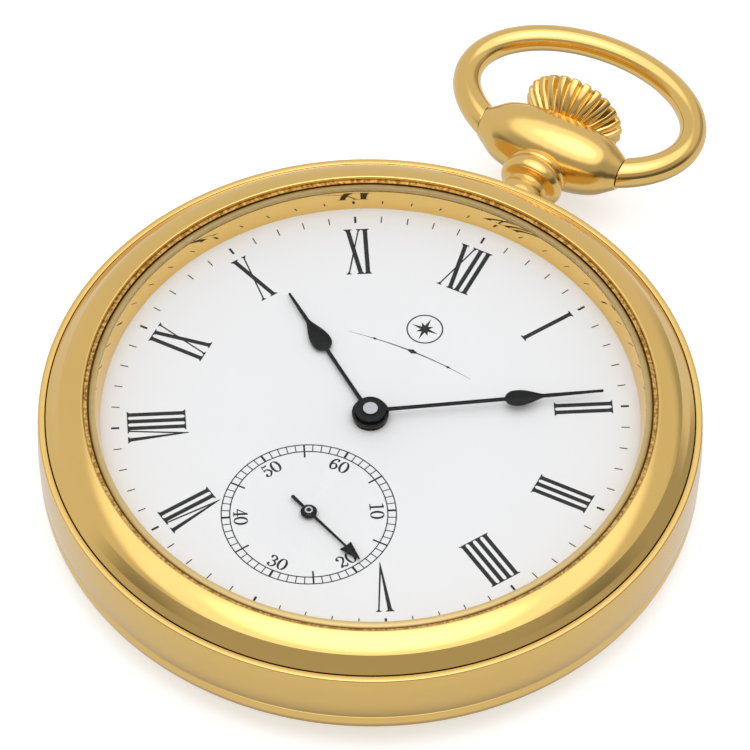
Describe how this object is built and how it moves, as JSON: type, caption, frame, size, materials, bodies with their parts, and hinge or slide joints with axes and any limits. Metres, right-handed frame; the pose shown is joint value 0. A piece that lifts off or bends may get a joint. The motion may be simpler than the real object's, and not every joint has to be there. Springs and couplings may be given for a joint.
{
  "type": "pocket watch",
  "caption": "Open-face hand-wound pocket watch: round gilt case, white dial with Roman hours and small seconds, pendant, swinging oval bow and fluted crown.",
  "frame": {"origin": "centre of the flat face at the middle of the back, on which the watch lies", "axes": "+Z out of the dial, +Y towards the 12 and the pendant, +X towards the 3"},
  "size_m": [0.0488, 0.0668, 0.0107],
  "materials": {
    "gold": "polished gold plate on brass",
    "crystal_glass": "clear polished",
    "gasket_amber": "satin",
    "gasket_black": "matte",
    "dial_white": "satin white enamel",
    "hands_black": "gloss black",
    "brass": "fine satin",
    "nickel": "nickel plated, striped",
    "steel": "polished",
    "blued_steel": "blued"
  },
  "bodies": {
    "case": {"case_band": "gold", "back_cover": "gold", "bezel": "gold", "crystal": "crystal_glass", "crystal_gasket": "gasket_amber", "pendant": "gold", "stem_gasket": "gasket_black", "movement_ring": "brass", "case_screw_1": "steel", "case_screw_2": "steel", "dial": "dial_white", "dial_flange": "gold", "main_plate": "brass", "barrel_bridge": "nickel", "train_bridge": "nickel", "pallet_bridge": "nickel", "balance_cock": "nickel", "barrel_bridge_screw_1": "blued_steel", "barrel_bridge_screw_2": "blued_steel", "train_bridge_screw_1": "blued_steel", "train_bridge_screw_2": "blued_steel", "balance_cock_screw": "blued_steel", "pallet_bridge_screw": "blued_steel", "crown_wheel_screw": "steel", "click_screw": "blued_steel", "click_spring": "steel", "yoke_spring": "steel"},
    "bow": {"bow": "gold"},
    "winding_pinion": {"winding_pinion": "steel"},
    "crown": {"crown": "gold", "winding_stem": "steel"},
    "sliding_pinion": {"sliding_pinion": "steel"},
    "setting_lever": {"setting_lever": "steel"},
    "yoke": {"yoke": "steel"},
    "crown_wheel": {"crown_wheel": "steel"},
    "ratchet": {"ratchet_wheel": "steel", "ratchet_screw": "steel", "barrel_arbor": "steel"},
    "click": {"click": "steel"},
    "seconds": {"fourth_wheel": "brass", "seconds_hand": "hands_black"},
    "third_wheel": {"third_wheel": "brass"},
    "minutes": {"center_wheel": "brass", "cannon_pinion": "steel", "minute_hand": "hands_black"},
    "barrel": {"barrel_drum": "brass", "barrel_cover": "brass", "mainspring": "steel"},
    "escape_wheel": {"escape_wheel": "steel"},
    "minute_wheel": {"minute_wheel": "brass"},
    "hours": {"hour_wheel": "brass", "hour_hand": "hands_black"},
    "setting_wheel": {"setting_wheel": "steel"},
    "pallet_fork": {"pallet_fork": "steel"},
    "balance": {"balance_wheel": "brass", "hairspring": "blued_steel"},
    "regulator": {"regulator": "steel"}
  },
  "joints": [
    {"name": "bow_swing", "type": "hinge", "parent": "case", "child": "bow", "pos_m": [0, 0.0307, 0.00575], "axis": [1, 0, 0], "range_deg": [-110, 110]},
    {"name": "crown_turn", "type": "hinge", "parent": "case", "child": "winding_pinion", "pos_m": [0, 0.0135, 0.00575], "axis": [0, 1, 0], "continuous": true},
    {"name": "crown_pull", "type": "slide", "parent": "winding_pinion", "child": "crown", "axis": [0, 1, 0], "range_m": [0, 0.0012]},
    {"name": "sliding_pinion_shift", "type": "slide", "parent": "winding_pinion", "child": "sliding_pinion", "axis": [0, 1, 0], "range_m": [-0.0006, 0]},
    {"name": "setting_lever_turn", "type": "hinge", "parent": "case", "child": "setting_lever", "pos_m": [0.0031, 0.0154, 0.0067], "axis": [0, 0, 1], "range_deg": [-26, 0]},
    {"name": "yoke_turn", "type": "hinge", "parent": "case", "child": "yoke", "pos_m": [-0.0046, 0.01095, 0.0067], "axis": [0, 0, 1], "range_deg": [-7.6, 0]},
    {"name": "crown_wheel_turn", "type": "hinge", "parent": "case", "child": "crown_wheel", "pos_m": [0, 0.0104, 0.0028], "axis": [0, 0, 1], "continuous": true},
    {"name": "ratchet_turn", "type": "hinge", "parent": "case", "child": "ratchet", "pos_m": [0.00787, 0.00216, 0.0028], "axis": [0, 0, 1], "continuous": true},
    {"name": "click_swing", "type": "hinge", "parent": "case", "child": "click", "pos_m": [0.01035, 0.01143, 0.0028], "axis": [0, 0, 1], "range_deg": [0, 12], "stiffness_Nm_per_rad": 0.000001},
    {"name": "seconds_turn", "type": "hinge", "parent": "case", "child": "seconds", "pos_m": [0, -0.01, 0.0082], "axis": [0, 0, -1], "continuous": true},
    {"name": "third_wheel_turn", "type": "hinge", "parent": "case", "child": "third_wheel", "pos_m": [-0.00272, -0.00568, 0.0045], "axis": [0, 0, -1], "continuous": true},
    {"name": "minutes_turn", "type": "hinge", "parent": "case", "child": "minutes", "pos_m": [0, 0, 0.0086], "axis": [0, 0, -1], "continuous": true},
    {"name": "barrel_turn", "type": "hinge", "parent": "case", "child": "barrel", "pos_m": [0.00787, 0.00216, 0.005], "axis": [0, 0, -1], "continuous": true},
    {"name": "escape_wheel_turn", "type": "hinge", "parent": "case", "child": "escape_wheel", "pos_m": [-0.00482, -0.01042, 0.0051], "axis": [0, 0, -1], "continuous": true},
    {"name": "minute_wheel_turn", "type": "hinge", "parent": "case", "child": "minute_wheel", "pos_m": [-0.00135, 0.00308, 0.0067], "axis": [0, 0, -1], "continuous": true},
    {"name": "hours_turn", "type": "hinge", "parent": "case", "child": "hours", "pos_m": [0, 0, 0.0082], "axis": [0, 0, -1], "continuous": true},
    {"name": "setting_wheel_turn", "type": "hinge", "parent": "case", "child": "setting_wheel", "pos_m": [0, 0.00735, 0.0067], "axis": [0, 0, -1], "continuous": true},
    {"name": "pallet_fork_swing", "type": "hinge", "parent": "case", "child": "pallet_fork", "pos_m": [-0.00673, -0.00824, 0.0052], "axis": [0, 0, -1], "range_deg": [-6, 6]},
    {"name": "balance_swing", "type": "hinge", "parent": "case", "child": "balance", "pos_m": [-0.0108, -0.0036, 0.004], "axis": [0, 0, -1], "range_deg": [-270, 270], "stiffness_Nm_per_rad": 0.0000005, "deforming": ["hairspring"]},
    {"name": "regulator_turn", "type": "hinge", "parent": "case", "child": "regulator", "pos_m": [-0.0108, -0.0036, 0.0024], "axis": [0, 0, -1], "range_deg": [-14, 14]}
  ],
  "couplings": [
    {"joint": "sliding_pinion_shift", "follows": "crown_pull", "ratio": -0.5},
    {"joint": "setting_lever_turn", "follows": "crown_pull", "rad_per_m": -375.25},
    {"joint": "yoke_turn", "follows": "crown_pull", "rad_per_m": -108.79},
    {"joint": "crown_wheel_turn", "follows": "crown_turn", "ratio": 0.54167},
    {"joint": "ratchet_turn", "follows": "crown_turn", "ratio": -0.25},
    {"joint": "third_wheel_turn", "follows": "seconds_turn", "ratio": -0.13333},
    {"joint": "minutes_turn", "follows": "seconds_turn", "ratio": 0.016667},
    {"joint": "barrel_turn", "follows": "seconds_turn", "ratio": -0.0023148},
    {"joint": "escape_wheel_turn", "follows": "seconds_turn", "ratio": -10},
    {"joint": "minute_wheel_turn", "follows": "seconds_turn", "ratio": -0.0055556},
    {"joint": "hours_turn", "follows": "seconds_turn", "ratio": 0.0013889},
    {"joint": "setting_wheel_turn", "follows": "seconds_turn", "ratio": 0.0071429}
  ]
}
